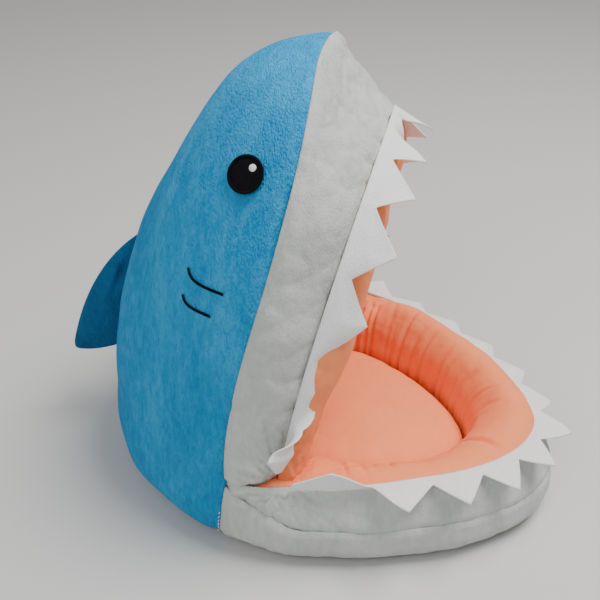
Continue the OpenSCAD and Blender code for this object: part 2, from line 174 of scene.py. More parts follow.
def makePileGroup():
    # short pile: brushed strokes of lighter and darker colour, and the height of its tufts
    tree = bpy.data.node_groups.new("brushedPile", "ShaderNodeTree")
    into, out = groupSockets(tree, [
        ("Light", "NodeSocketColor", (0.2, 0.5, 0.7, 1)),
        ("Dark", "NodeSocketColor", (0.1, 0.3, 0.5, 1)),
        ("Patch Size", "NodeSocketFloat", 14.0),
        ("Tuft Size", "NodeSocketFloat", 420.0),
        ("Mottle", "NodeSocketFloat", 0.5)],
        [("Color", "NodeSocketColor"), ("Height", "NodeSocketFloat"), ("Rough", "NodeSocketFloat")])
    node, link = tree.nodes.new, tree.links.new
    place = node("ShaderNodeTexCoord")
    stretch = node("ShaderNodeMapping")
    stretch.inputs["Scale"].default_value = (1.0, 1.6, 0.62)
    link(place.outputs["Object"], stretch.inputs["Vector"])
    patches = node("ShaderNodeTexNoise")
    patches.inputs["Detail"].default_value = 5.0
    patches.inputs["Roughness"].default_value = 0.62
    patches.inputs["Distortion"].default_value = 0.8
    link(stretch.outputs["Vector"], patches.inputs["Vector"])
    link(into.outputs["Patch Size"], patches.inputs["Scale"])
    strokes = node("ShaderNodeTexNoise")
    strokes.inputs["Scale"].default_value = 130.0
    strokes.inputs["Detail"].default_value = 3.0
    strokes.inputs["Distortion"].default_value = 0.6
    link(stretch.outputs["Vector"], strokes.inputs["Vector"])
    tufts = node("ShaderNodeTexNoise")
    tufts.inputs["Detail"].default_value = 2.0
    link(stretch.outputs["Vector"], tufts.inputs["Vector"])
    link(into.outputs["Tuft Size"], tufts.inputs["Scale"])
    broad = node("ShaderNodeMapRange")
    broad.inputs["From Min"].default_value = 0.41
    broad.inputs["From Max"].default_value = 0.60
    link(patches.outputs["Fac"], broad.inputs["Value"])
    fine = node("ShaderNodeMapRange")
    fine.inputs["From Min"].default_value = 0.36
    fine.inputs["From Max"].default_value = 0.66
    link(strokes.outputs["Fac"], fine.inputs["Value"])
    both = node("ShaderNodeMix")
    both.inputs["Factor"].default_value = 0.42
    link(broad.outputs["Result"], both.inputs["A"])
    link(fine.outputs["Result"], both.inputs["B"])
    third = node("ShaderNodeMix")
    third.inputs["Factor"].default_value = 0.3
    link(both.outputs["Result"], third.inputs["A"])
    link(tufts.outputs["Fac"], third.inputs["B"])
    amount = node("ShaderNodeMath")
    amount.operation = "MULTIPLY"
    link(third.outputs["Result"], amount.inputs[0])
    link(into.outputs["Mottle"], amount.inputs[1])
    colour = node("ShaderNodeMix")
    colour.data_type = "RGBA"
    link(amount.outputs["Value"], colour.inputs["Factor"])
    link(into.outputs["Light"], colour.inputs["A"])
    link(into.outputs["Dark"], colour.inputs["B"])
    link(colour.outputs["Result"], out.inputs["Color"])
    height = node("ShaderNodeMath")
    height.operation = "MULTIPLY_ADD"
    height.inputs[1].default_value = 0.7
    link(strokes.outputs["Fac"], height.inputs[0])
    link(tufts.outputs["Fac"], height.inputs[2])
    link(height.outputs["Value"], out.inputs["Height"])
    rough = node("ShaderNodeMapRange")
    rough.inputs["To Min"].default_value = 0.72
    rough.inputs["To Max"].default_value = 0.95
    link(fine.outputs["Result"], rough.inputs["Value"])
    link(rough.outputs["Result"], out.inputs["Rough"])
    return tree


pileGroup = makePileGroup()


def pileMaterial(name, light, dark, patchSize, tuftSize, mottle, bump, sheen, sheenTint):
    material = bpy.data.materials.new(name)
    material.use_nodes = True
    nodes, links = material.node_tree.nodes, material.node_tree.links
    shader = nodes["Principled BSDF"]
    pile = nodes.new("ShaderNodeGroup")
    pile.node_tree = pileGroup
    pile.inputs["Light"].default_value = (*light, 1)
    pile.inputs["Dark"].default_value = (*dark, 1)
    pile.inputs["Patch Size"].default_value = patchSize
    pile.inputs["Tuft Size"].default_value = tuftSize
    pile.inputs["Mottle"].default_value = mottle
    relief = nodes.new("ShaderNodeBump")
    relief.inputs["Strength"].default_value = bump
    relief.inputs["Distance"].default_value = 0.002
    links.new(pile.outputs["Color"], shader.inputs["Base Color"])
    links.new(pile.outputs["Rough"], shader.inputs["Roughness"])
    links.new(pile.outputs["Height"], relief.inputs["Height"])
    links.new(relief.outputs["Normal"], shader.inputs["Normal"])
    shader.inputs["Specular IOR Level"].default_value = 0.06
    shader.inputs["Sheen Weight"].default_value = sheen
    shader.inputs["Sheen Roughness"].default_value = 0.45
    shader.inputs["Sheen Tint"].default_value = (*sheenTint, 1)
    return material


bluePlush = pileMaterial("bluePlush", (0.040, 0.42, 0.78), (0.005, 0.185, 0.47), 9.0, 480.0, 0.85, 1.3, 0.03,
                         (0.35, 0.75, 1.0))
finPlush = pileMaterial("finPlush", (0.011, 0.135, 0.30), (0.004, 0.060, 0.155), 16.0, 480.0, 0.8, 0.9, 0.08,
                        (0.3, 0.7, 1.0))
whitePlush = pileMaterial("whitePlush", (0.60, 0.63, 0.61), (0.36, 0.38, 0.36), 22.0, 600.0, 0.6, 0.5, 0.12,
                          (1.0, 1.0, 1.0))
peachCloth = pileMaterial("peachCloth", (1.0, 0.31, 0.135), (0.90, 0.23, 0.09), 12.0, 900.0, 0.4, 0.18, 0.12,
                          (1.0, 0.7, 0.5))
feltCloth = pileMaterial("feltCloth", (0.88, 0.90, 0.91), (0.72, 0.74, 0.75), 60.0, 900.0, 0.4, 0.5, 0.1,
                         (1.0, 1.0, 1.0))
blackThread = pileMaterial("blackThread", (0.006, 0.006, 0.008), (0.002, 0.002, 0.003), 60.0, 900.0, 0.5, 0.3,
                           0.05, (0.4, 0.4, 0.5))
whiteThread = pileMaterial("whiteThread", (0.85, 0.85, 0.85), (0.7, 0.7, 0.7), 60.0, 900.0, 0.4, 0.3, 0.1,
                           (1.0, 1.0, 1.0))
baseCloth = pileMaterial("baseCloth", (0.7, 0.71, 0.7), (0.55, 0.56, 0.55), 30.0, 900.0, 0.5, 0.4, 0.1,
                         (1.0, 1.0, 1.0))

# the head

rightLow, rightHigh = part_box("right_head_panel")
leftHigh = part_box("left_head_panel")[1]
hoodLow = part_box("hood_stuffing")[0]
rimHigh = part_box("jaw_upper_band")[1]

head = {
    "depth": 0.219, "cheekSeam": 0.056, "crownSeam": 0.004, "mouthWidth": 0.336, "snoutHeight": 0.372,
    "snoutReach": 0.057, "wall": 0.080, "lipSwell": 0.046, "bandSwell": 0.007, "crownSwell": -0.7,
    "sideCurve": 2.1, "mouthCurve": 2.4, "backLow": 1.95, "backHigh": 1.66, "footSeamShift": 0.011,
}
headZ = hoodLow.z
seamShare = power(1 - power(head["cheekSeam"] / head["depth"], head["backLow"]), 1 / head["backLow"])
halfWidth = (leftHigh.x - rightLow.x) / 2 / seamShare
domeHeight = rightHigh.z - headZ
mouthRise = head["snoutHeight"] - headZ
centre = np.array([(leftHigh.x + rightLow.x) / 2, rightHigh.y - head["depth"], 0.0])
caveBack = head["depth"] - head["wall"]


def seamY(s):
    return mix(head["cheekSeam"], -head["crownSeam"] - 0.002 * (1 - s), (1 - np.cos(math.pi * s)) / 2)


def backCurve(s):
    return mix(head["backLow"], head["backHigh"], s)


def archOf(a, p):
    c = np.cos(a)
    return -np.sign(c) * power(np.abs(c), 2 / p), power(np.sin(a), 2 / p)


def backScale(y, s):
    p = backCurve(s)
    return power(1 - power(np.abs(y) / head["depth"], p), 1 / p)


def stack(x, y, z):
    x, y, z = np.broadcast_arrays(x, y, z)
    return np.stack([x, y, z], axis=-1)


def headSeam(a):
    x, s = archOf(a, head["sideCurve"])
    y = seamY(s)
    k = backScale(y, s)
    return stack(x * halfWidth * k, y, headZ + domeHeight * s * k)


def mouthEdge(a):
    x, s = archOf(a, head["mouthCurve"])
    y = mix(0.008, -head["snoutReach"], power(s, 1.25))
    return stack(x * head["mouthWidth"] / 2, y, headZ + mouthRise * s)


def bandFrame(a):
    x, s = archOf(a, head["mouthCurve"])
    p = head["mouthCurve"] - 1
    out = unit(stack(np.sign(x) * power(np.abs(x), p) / head["mouthWidth"] * 2, 0, power(s, p) / mouthRise))
    along = unit(mouthEdge(a) - headSeam(a))
    return along, unit(out - (out * along).sum(-1, keepdims=True) * along)


def backPoint(a, t):
    x, s = archOf(a, head["sideCurve"])
    y0 = seamY(s)
    p = backCurve(s)
    b0 = np.sign(y0) * np.arcsin(power(np.abs(y0) / head["depth"], p / 2))
    b = mix(math.pi / 2, b0, t)
    k = power(np.cos(b), 2 / p)
    return stack(x * halfWidth * k, np.sign(b) * head["depth"] * power(np.abs(np.sin(b)), 2 / p),
                 headZ + domeHeight * s * k)


def bandPoint(a, t):
    along, out = bandFrame(a)
    flatPoint = mix(headSeam(a), mouthEdge(a), t[..., None])
    swell = head["bandSwell"] * mix(1, head["crownSwell"], ease((np.sin(a) - 0.8) / 0.2))
    return flatPoint + (swell * np.sin(math.pi * t))[..., None] * out


def lipPoint(a, t):
    along, out = bandFrame(a)
    swell = head["lipSwell"] * mix(0.72, 1, ease(np.sin(a) * 2.2))
    return (mouthEdge(a) - out * (head["wall"] * (1 - np.cos(math.pi * t)) / 2)[..., None]
            + along * (swell * np.sin(math.pi * t))[..., None])


def cavePoint(a, t):
    m = lipPoint(a, np.ones_like(t))
    b = math.pi / 2 * t
    k = power(np.cos(b), 2 / head["backLow"])
    return stack(m[..., 0] * k, mix(m[..., 1], caveBack, power(np.sin(b), 2 / head["backLow"])),
                 headZ + (m[..., 2] - headZ) * k)


def meshGrid(first, second):
    return np.meshgrid(first, second, indexing="ij")


# the jaw

jaw = {
    "length": 0.223, "width": 0.340, "lean": 0.040, "sideSeam": 0.045, "sideSwell": 0.022,
    "bolsterSide": 0.056, "bolsterTip": 0.070, "bolsterSwell": 0.017, "pressed": 0.2, "crease": 0.046,
    "creaseGap": 0.014, "padHeight": 0.058,
    "frontProfile": [(0, 0.2), (0.07, 0.7), (0.26, 1), (0.52, 0.92), (0.77, 0.52), (1, 0)],
    "rearProfile": [(0, -0.9), (0.07, -0.4), (0.26, 0.05), (0.52, 0.2), (0.77, 0.14), (1, 0)],
}
rimZ = rimHigh.z


def outline(u, frontWidth, rearWidth, frontLength, rearLength):
    c, s = np.cos(u), np.sin(u)
    y = np.where(s >= 0, -frontLength * power(s, 1.316), rearLength * power(-s, 2 / head["backLow"]))
    k = np.where(s >= 0, power(np.abs(c), 1.136), power(np.abs(c), 2 / head["backLow"]))
    w = mix(frontWidth, rearWidth, ease((y + 0.04) / (head["cheekSeam"] + 0.04)))
    lean = jaw["lean"] * power(np.maximum(0, -y) / jaw["length"], 1.6)
    return -np.sign(c) * w * k - lean, y


def sidePoint(u, z):
    f = jaw["sideSwell"] * smoothTable(z / rimZ, jaw["frontProfile"])
    b = jaw["sideSwell"] * smoothTable(z / rimZ, jaw["rearProfile"])
    x, y = outline(u, jaw["width"] / 2 + f, halfWidth + b, jaw["length"] + f, head["depth"] + b)
    return stack(x, y, z)


def cheekAngle(z):
    # where the white side panels meet the blue one, by height
    rear = head["depth"] + jaw["sideSwell"] * smoothTable(z / rimZ, jaw["rearProfile"])
    y = head["cheekSeam"] + head["footSeamShift"] * (1 - z / rimZ)
    return np.arcsin(power(y / rear, head["backLow"] / 2))


def rimPoint(u):
    return sidePoint(u, np.full_like(u, rimZ))


def creasePoint(u):
    x, y = outline(u, jaw["width"] / 2 - jaw["bolsterSide"], halfWidth - head["wall"] - jaw["creaseGap"],
                   jaw["length"] - jaw["bolsterTip"], caveBack)
    return stack(x, y, 0)


def bolsterPoint(u, t):
    rim, crease = rimPoint(u), creasePoint(u)
    k = ease((-rim[..., 1] - 0.03) / 0.06)
    swell = jaw["bolsterSwell"] * mix(jaw["pressed"], 1, ease((rim[..., 0] + 0.13) / 0.1))
    place = mix(rim, crease, t[..., None])
    z = (jaw["crease"] + (rimZ - jaw["crease"]) * (1 - power(t, mix(6, 2.4, k)))
         + k * swell * power(np.sin(math.pi * t), 0.8))
    return stack(place[..., 0], place[..., 1], z)


def cornerFolds(grid, size, width, seed):
    # folds that fan out from the corners of the mouth and fade over that width
    corner = np.where(grid[..., :1] < 0, mouthEdge(np.array(0.0)), mouthEdge(np.array(math.pi)))
    away = grid - corner
    distance = np.linalg.norm(away, axis=-1)
    heading = unit(away) + 0.3 * distance[..., None]
    return (creaseNoise(heading, size, seed) - 0.5) * ease(distance / 0.02) * bell(distance, width)


# blue sides

bluePanel = {"rows": 150, "lowRows": 34, "cols": 120, "seamTuck": 0.0035, "seamWidth": 0.006, "lump": 0.0016,
             "lumpSize": 0.07, "hump": 0.009, "humpAt": 0.72, "humpWidth": 0.06, "humpFade": 0.035,
             "ridgeTuck": 0.0016, "ridgeWidth": 0.004, "pucker": 0.0009, "puckerSize": 0.02, "cloth": 0.0025}
floorGap = 0.0035


def makeSidePanel(name, side):
    rows, cols = bluePanel["rows"], bluePanel["cols"]
    start, end = (0, math.pi / 2) if side < 0 else (math.pi, math.pi / 2)
    a, t = meshGrid(np.linspace(start, end, rows), np.linspace(0, 1, cols))
    upper = backPoint(a, t)
    z, t = meshGrid(np.linspace(floorGap, headZ, bluePanel["lowRows"], endpoint=False), t[0])
    b = mix(math.pi / 2, cheekAngle(z), t)
    lower = sidePoint(-b if side < 0 else math.pi + b, z)
    grid = np.concatenate([lower, upper])
    if side < 0:
        grid = grid[::-1]
    out = normalsOf(grid)
    toPole, toSeam = seamDistance(grid)
    lift = bluePanel["lump"] * cloudNoise(grid, bluePanel["lumpSize"], 3 + side) - 0.0006
    # the filling stands up under the crown
    fromHump = np.linalg.norm(grid - backPoint(np.array(math.pi / 2), bluePanel["humpAt"]), axis=-1)
    hump = bluePanel["hump"] * bell(fromHump, bluePanel["humpWidth"])
    lift = lift + hump * (1 - bell(toSeam, bluePanel["humpFade"]))
    lift = lift - bluePanel["seamTuck"] * bell(toSeam, bluePanel["seamWidth"])
    ridge = bell(np.abs(grid[..., 0]), bluePanel["ridgeWidth"]) * (grid[..., 2] > 0.02)
    lift = lift - bluePanel["ridgeTuck"] * ridge
    pucker = creaseNoise(grid, bluePanel["puckerSize"], 5) - 0.5
    lift = lift + bluePanel["pucker"] * pucker * bell(toSeam, 0.03)
    pole = np.abs(toPole) < 1e-6
    out[pole] = (0, 1, 0)
    lift[pole] = lift[pole].mean()
    outer = grid + out * lift[..., None]
    inner = outer - out * bluePanel["cloth"]
    inner[..., 0] = np.minimum(inner[..., 0], 0) if side < 0 else np.maximum(inner[..., 0], 0)
    outer[..., 0] = np.minimum(outer[..., 0], 0) if side < 0 else np.maximum(outer[..., 0], 0)
    outer[..., 2] = np.maximum(outer[..., 2], 0.0005)
    inner[..., 2] = np.maximum(inner[..., 2], 0.0007)
    return shell(name, outer + centre, inner + centre, bluePlush)


print("making the blue sides")
rightSide = makeSidePanel("rightSidePlush", -1)
leftSide = makeSidePanel("leftSidePlush", 1)
for piece, names in ((rightSide, ("right_head_panel", "right_rear_panel", "hood_stuffing")),
                     (leftSide, ("left_head_panel", "left_rear_panel"))):
    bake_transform(piece)
    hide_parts(*names)

# white band along the mouth

band = {"rows": 420, "cols": 40, "tuck": 0.003, "edgeTuck": 0.0012, "tuckWidth": 0.005,
        "wrinkle": 0.0060, "wrinkleSize": 0.030, "small": 0.0026, "smallSize": 0.013, "lump": 0.0026,
        "lumpSize": 0.05, "calm": 0.010, "fold": 0.0055, "foldSize": 0.30, "foldWidth": 0.085, "roll": 0.0026,
        "footTuck": 0.0018, "footWidth": 0.003, "sink": 0.007, "cloth": 0.0022}


def makeBand():
    a, t = meshGrid(np.linspace(math.pi, 0, band["rows"]), np.linspace(0, 1, band["cols"]))
    grid = bandPoint(a, t)
    toSeam, toEdge = seamDistance(grid)
    crown = ease((np.sin(a) - 0.75) / 0.25)
    wrinkles = creaseNoise(grid * np.array([1.0, 0.55, 1.0]), band["wrinkleSize"], 11) - 0.55
    small = creaseNoise(grid, band["smallSize"], 12) - 0.55
    lift = band["lump"] * cloudNoise(grid, band["lumpSize"], 13)
    calm = 1 - bell(toSeam, band["calm"])
    lift = lift + calm * band["wrinkle"] * wrinkles * mix(0.45, 1.0, crown)
    lift = lift + calm * band["small"] * small * mix(0.3, 1.0, crown)
    lift = lift + calm * band["fold"] * cornerFolds(grid, band["foldSize"], band["foldWidth"], 14)
    lift = lift - band["tuck"] * bell(toSeam, band["tuckWidth"])
    lift = lift - band["edgeTuck"] * bell(toEdge, band["tuckWidth"])
    lift = lift - band["footTuck"] * bell(grid[..., 2] - headZ, band["footWidth"])
    out = normalsOf(grid)
    outer = grid + out * lift[..., None]
    # the front edge rolls in behind the teeth
    ahead, face = (v[:, None] for v in bandFrame(a[:, -1]))
    roll = (np.linspace(0, math.pi / 2, 6)[1:])[None, :, None]
    rolled = outer[:, -1:] + band["roll"] * (np.sin(roll) * ahead - (1 - np.cos(roll)) * face)
    outer = np.concatenate([outer, rolled, rolled[:, -1:] - band["roll"] * 2 * face], axis=1)
    rolledOut = np.cos(roll) * face + np.sin(roll) * ahead
    out = np.concatenate([out, rolledOut, rolledOut[:, -1:]], axis=1)
    # both feet go down behind the jaw's cloth
    sink = np.linspace(1, 0, 4, endpoint=False)[:, None, None]
    down = np.array([0, 0, band["sink"]])
    first = outer[:1] - sink * (down + 0.004 * out[:1])
    last = (outer[-1:] - sink * (down + 0.004 * out[-1:]))[::-1]
    outer = np.concatenate([first, outer, last])
    out = np.concatenate([np.repeat(out[:1], 4, 0), out, np.repeat(out[-1:], 4, 0)])
    return shell("mouthBandPlush", outer + centre, outer - out * band["cloth"] + centre, whitePlush)


print("making the mouth band")
mouthBand = makeBand()
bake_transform(mouthBand)
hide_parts("mouth_band")

# peach lining of the mouth

lining = {"rows": 300, "lipCols": 50, "caveCols": 60, "skirt": 0.028, "tuck": 0.006, "tuckWidth": 0.006,
          "wrinkle": 0.0035, "wrinkleSize": 0.022, "lump": 0.003, "lumpSize": 0.06, "fold": 0.008,
          "foldSize": 0.16, "foldWidth": 0.07, "cloth": 0.002}


def makeLining():
    angles = np.linspace(math.pi, 0, lining["rows"])
    a, t = meshGrid(angles, np.linspace(0, 1, lining["lipCols"]))
    lip = lipPoint(a, t)
    a, t = meshGrid(angles, np.linspace(0, 1, lining["caveCols"])[1:])
    grid = np.concatenate([lip, cavePoint(a, t)], axis=1)
    toEdge = seamDistance(grid)[0]
    foot = grid[:1].copy()
    low = grid[-1:].copy()
    drop = np.linspace(1, 0, 8, endpoint=False)[:, None, None] * np.array([0, 0, lining["skirt"]])
    grid = np.concatenate([foot - drop, grid, low - drop[::-1]])
    toEdge = np.concatenate([np.repeat(toEdge[:1], 8, 0), toEdge, np.repeat(toEdge[-1:], 8, 0)])
    out = normalsOf(grid)
    lift = lining["lump"] * cloudNoise(grid, lining["lumpSize"], 21)
    gather = creaseNoise(grid * np.array([1.0, 0.35, 1.0]), lining["wrinkleSize"], 22) - 0.5
    lift = lift + lining["wrinkle"] * gather * bell(toEdge - 0.012, 0.03)
    lift = lift - lining["tuck"] * bell(toEdge, lining["tuckWidth"])
    lift = lift + lining["fold"] * cornerFolds(grid, lining["foldSize"], lining["foldWidth"], 23)
    out[:, -1] = (0, -1, 0)
    lift[:, -1] = 0
    outer = grid + out * lift[..., None]
    return shell("mouthLiningCloth", outer + centre, outer - out * lining["cloth"] + centre, peachCloth)


print("making the lining")
mouthLining = makeLining()
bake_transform(mouthLining)
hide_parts("mouth_lining")

# white jaw sides

jawSide = {"cols": 560, "lowRows": 30, "highRows": 26, "tuck": 0.0022, "tuckWidth": 0.004, "length": 0.95,
           "sweep": 0.11, "fold": 0.0055, "foldSize": 0.26, "foldWidth": 0.065, "run": 0.9,
           "cheekTuck": 0.003, "cheekWidth": 0.006, "gatherSize": 0.016, "lump": 0.0016, "lumpSize": 0.045}


def sideSeamHeight(f):
    # the seam sweeps up to the corners of the mouth
    near = np.minimum(f, 1 - f) * jawSide["length"]
    return mix(rimZ - 0.007, jaw["sideSeam"], ease(near / jawSide["sweep"]) ** 0.7)


def makeJawSide(name, upper, rows, seed):
    f, share = meshGrid(np.linspace(0, 1, jawSide["cols"]), np.linspace(0, 1, rows))
    seam = sideSeamHeight(f)
    z = mix(seam, rimZ, share) if upper else mix(floorGap, seam, share)
    first = cheekAngle(z)
    u = mix(-first, math.pi + first, f)
    grid = sidePoint(u, z)
    toLow, toHigh = seamDistance(grid)
    cheek = bell(f, 0.09) + bell(1 - f, 0.09)
    gathers = creaseNoise(stack(grid[..., 0] * 0.9, grid[..., 1], grid[..., 2] * 0.25),
                          jawSide["gatherSize"], seed) - 0.55
    lift = jawSide["lump"] * cloudNoise(grid, jawSide["lumpSize"], seed + 1)
    lift = lift + 0.0006 * (creaseNoise(grid, 0.02, seed + 2) - 0.5)
    lift = lift + (0.0008 + 0.0010 * cheek) * gathers
    folds = cornerFolds(grid, jawSide["foldSize"], jawSide["foldWidth"], seed + 3)
    lift = lift + jawSide["fold"] * folds * (1 - bell(toHigh, 0.006))
    lift = lift - jawSide["tuck"] * (bell(toLow, jawSide["tuckWidth"]) + bell(toHigh, jawSide["tuckWidth"]))
    toCheek = np.minimum(f, 1 - f) * jawSide["run"]
    lift = lift - jawSide["cheekTuck"] * bell(toCheek, jawSide["cheekWidth"])
    return clothShell(name, grid + centre, whitePlush, lift)


print("making the jaw")
jawLower = makeJawSide("jawLowerPlush", False, jawSide["lowRows"], 31)
jawUpper = makeJawSide("jawUpperPlush", True, jawSide["highRows"], 35)
for piece, names in ((jawLower, ("jaw_lower_band",)), (jawUpper, ("jaw_upper_band", "jaw_stuffing"))):
    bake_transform(piece)
    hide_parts(*names)

# peach bolster round the pad

bolster = {"cols": 900, "rows": 46, "folds": 64, "depth": 0.0050, "width": 0.0030, "crease": 0.006,
           "sunk": 0.03, "fold": 0.006, "foldSize": 0.15, "foldWidth": 0.075, "lump": 0.0022,
           "lumpSize": 0.045, "seed": 4}


def makeBolster():
    u, t = meshGrid(np.linspace(0, 2 * math.pi, bolster["cols"], endpoint=False),
                    np.linspace(0, 1, bolster["rows"]))
    rim = rimPoint(u)
    under = ease((rim[..., 1] + 0.03) / 0.03)
    grid = bolsterPoint(u, mix(t, 0.07 + 0.93 * t, under))
    grid[..., 2] -= 0.004 * under
    drop = np.linspace(0, bolster["sunk"], 8)[1:]
    wall = grid[:, -1:] - drop[None, :, None] * np.array([0, 0, 1])
    random = np.random.default_rng(bolster["seed"])
    run = np.concatenate([[0], np.cumsum(np.linalg.norm(np.diff(grid[:, 22], axis=0), axis=-1))])
    length = run[-1]
    lift = bolster["lump"] * cloudNoise(grid, bolster["lumpSize"], 41)
    for n in range(bolster["folds"]):
        at = length * (n + random.uniform(-0.38, 0.38)) / bolster["folds"]
        reach = random.uniform(0.25, 0.95)
        deep = bolster["depth"] * random.uniform(0.25, 1.0) ** 1.4
        wide = bolster["width"] * random.uniform(0.7, 1.5)
        bend = random.uniform(-0.02, 0.02)
        line = at + bend * (1 - t) ** 2
        side = (run[:, None] - line + length / 2) % length - length / 2
        fade = ease((t - (1 - reach)) / 0.45)
        lift = lift - deep * fade * (bell(side, wide) - 0.35 * bell(side, wide * 3))
    lift = lift * ease(t / 0.14) - 0.0008
    lift = lift - bolster["crease"] * bell(1 - t, 0.10) - 0.0015 * bell(t, 0.05)
    folds = cornerFolds(grid, bolster["foldSize"], bolster["foldWidth"], 44)
    lift = lift + bolster["fold"] * folds * ease(t / 0.25)
    lift = lift + 0.0007 * (creaseNoise(grid, 0.012, 43) - 0.5)
    out = normalsOf(grid, closedRows=True)
    top = grid + out * lift[..., None]
    grid = np.concatenate([top, wall + (top[:, -1:] - grid[:, -1:])], axis=1)
    return clothShell("bolsterCloth", grid + centre, peachCloth, np.zeros(grid.shape[:2]), closedRows=True)


print("making the bolster and the pad")
bolsterPiece = makeBolster()
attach(bolsterPiece, "base")
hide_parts("bolster_cover")

pad = {"cols": 360, "rows": 60, "edge": 0.010, "lean": 0.12, "foot": 0.004, "lump": 0.002,
       "lumpSize": 0.07, "pull": 0.0016, "pullSize": 0.012, "fold": 0.006, "foldSize": 0.15,
       "foldWidth": 0.11, "tuckedUnder": 1.012}


def makePad():
    u, t = meshGrid(np.linspace(0, 2 * math.pi, pad["cols"], endpoint=False), np.linspace(1, 0, pad["rows"]))
    crease = creasePoint(u)
    middle = np.array([-jaw["lean"] * pad["lean"], 0, 0])
    place = mix(middle, crease * pad["tuckedUnder"], t[..., None])
    z = mix(jaw["padHeight"], jaw["crease"] - 0.003, power(t, 2.6)) - pad["edge"] * power(t, 14)
    grid = stack(place[..., 0], place[..., 1], z)
    lift = pad["lump"] * cloudNoise(grid, pad["lumpSize"], 51) * (1 - t ** 4)
    pull = creaseNoise(stack(np.cos(u) * 0.09, np.sin(u) * 0.09, t * 0.02), pad["pullSize"], 52) - 0.5
    lift = lift + pad["pull"] * pull * ease((t - 0.55) / 0.4)
    lift = lift + pad["fold"] * cornerFolds(grid, pad["foldSize"], pad["foldWidth"], 53)
    outer = grid + np.array([0, 0, 1]) * lift[..., None]
    inner = outer.copy()
    inner[..., 2] = pad["foot"]
    return shell("padCloth", outer + centre, inner + centre, peachCloth, closedRows=True)


padPiece = makePad()
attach(padPiece, "base")
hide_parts("pad_cover", "pad_filling")

# felt teeth

# each tooth: turn at its root and curl over its length, in degrees, out from the mouth when positive
upperTeeth = {
    "margin": 0.013, "height": 0.030, "thickness": 0.0014, "columns": 24, "rows": 16, "lean": 0.22,
    "tuck": 0.0012,
    "widths": [0.95, 1.20, 1.40, 1.14, 0.89, 0.82, 0.8, 1.0, 1.05, 0.95, 1.1, 1.05, 0.9],
    "turns": [(116, 40), (-78, -30), (-16, -26), (2, 8), (4, 10), (4, 12), (-20, -80),
              (4, 8), (8, 6), (6, 12), (10, -6), (0, -20), (20, 30)],
}
lowerTeeth = {
    "margin": 0.010, "height": 0.027, "thickness": 0.0014, "columns": 24, "rows": 14, "tuck": 0.0005,
    "widths": [1.47, 1.13, 0.97, 0.80, 0.70, 0.80, 0.9, 1.0, 1.05, 1.08, 1.0, 1.1],
    "turns": [(84, 0), (4, -10), (0, -14), (-4, -10), (0, -6), (2, -14),
              (-12, -24), (-10, -34), (-14, -28), (-10, -36), (-12, -24), (10, -20)],
}


def toothLine(points, spread):
    # where each share of the line's length falls among its points
    run = np.concatenate([[0], np.cumsum(np.linalg.norm(np.diff(points, axis=0), axis=-1))])
    return np.interp(spread * run[-1], run, np.arange(len(points))), run[-1]


def makeTeeth(name, sizes, angles, edgeAt, frameAt):
    teeth = sizes["turns"]
    columns = len(teeth) * sizes["columns"] + 1
    ends = np.concatenate([[0], np.cumsum(sizes["widths"])])
    spread = np.interp(np.arange(columns) / sizes["columns"], np.arange(len(teeth) + 1), ends / ends[-1])
    index, length = toothLine(edgeAt(angles), spread)
    a = np.interp(index, np.arange(len(angles)), angles)
    root = edgeAt(a)
    along, out = frameAt(a)
    place = np.arange(columns) / sizes["columns"]
    saw = 1 - np.abs((place % 1) * 2 - 1)
    reach = sizes["margin"] + sizes["height"] * saw ** 1.05
    middles = np.arange(len(teeth)) + 0.5
    # a tooth turns as a whole, and the strip twists in the valleys between teeth
    shaped = place + 0.16 * np.sin(2 * math.pi * place)
    turn = np.radians(np.interp(shaped, middles, [x[0] for x in teeth]))
    curl = np.radians(np.interp(shaped, middles, [x[1] for x in teeth]))
    flutter = np.radians(5) * np.array([noise.noise(Vector((x * 0.7, 3.3, 0.5))) for x in place])
    f = np.linspace(0, 1, sizes["rows"])
    angle = (turn + flutter)[:, None] * ease(f * 2.2)[None] + curl[:, None] * f[None] ** 1.6
    step = reach[:, None, None] / (sizes["rows"] - 1)
    middle = (angle[:, 1:] + angle[:, :-1]) / 2
    moves = step * (np.cos(middle)[..., None] * along[:, None] + np.sin(middle)[..., None] * out[:, None])
    grid = root[:, None] + np.concatenate([np.zeros((columns, 1, 3)), np.cumsum(moves, axis=1)], axis=1)
    tucked = sizes["tuck"] * bell(f * float(np.mean(reach)), 0.005)
    grid = grid - tucked[None, :, None] * out[:, None]
    normal = unit(np.cos(angle)[..., None] * out[:, None] - np.sin(angle)[..., None] * along[:, None])
    flatArea = float(np.sum((reach[1:] + reach[:-1]) / 2 * np.diff(spread)) * length)
    piece = shell(name, grid + normal * sizes["thickness"] + centre, grid + centre, feltCloth)
    return piece, length, flatArea


def upperFrame(a):
    along, out = bandFrame(a)
    ahead = unit(mouthEdge(a + 0.01) - mouthEdge(a - 0.01))
    square = unit(along - (along * ahead).sum(-1, keepdims=True) * ahead)
    direction = unit(square + upperTeeth["lean"] * out)
    return direction, unit(out - (out * direction).sum(-1, keepdims=True) * direction)


def lowerFrame(u):
    ahead = unit(rimPoint(u + 0.02) - rimPoint(u - 0.02))
    out = unit(stack(-np.abs(ahead[..., 1]) * np.sign(np.cos(u)), -np.abs(ahead[..., 0]), 0))
    drop = math.radians(4)
    up = np.array([0.0, 0.0, 1.0])
    return out * math.cos(drop) - up * math.sin(drop), out * math.sin(drop) + up * math.cos(drop)


def lowerEdge(u):
    # the strip starts just inside the rim, except where it stands up at the near corner
    inset = mix(0.0008, -0.004, ease((u - 0.35) / 0.35))
    return rimPoint(u) + inset[..., None] * lowerFrame(u)[0] + np.array([0, 0, 0.001])


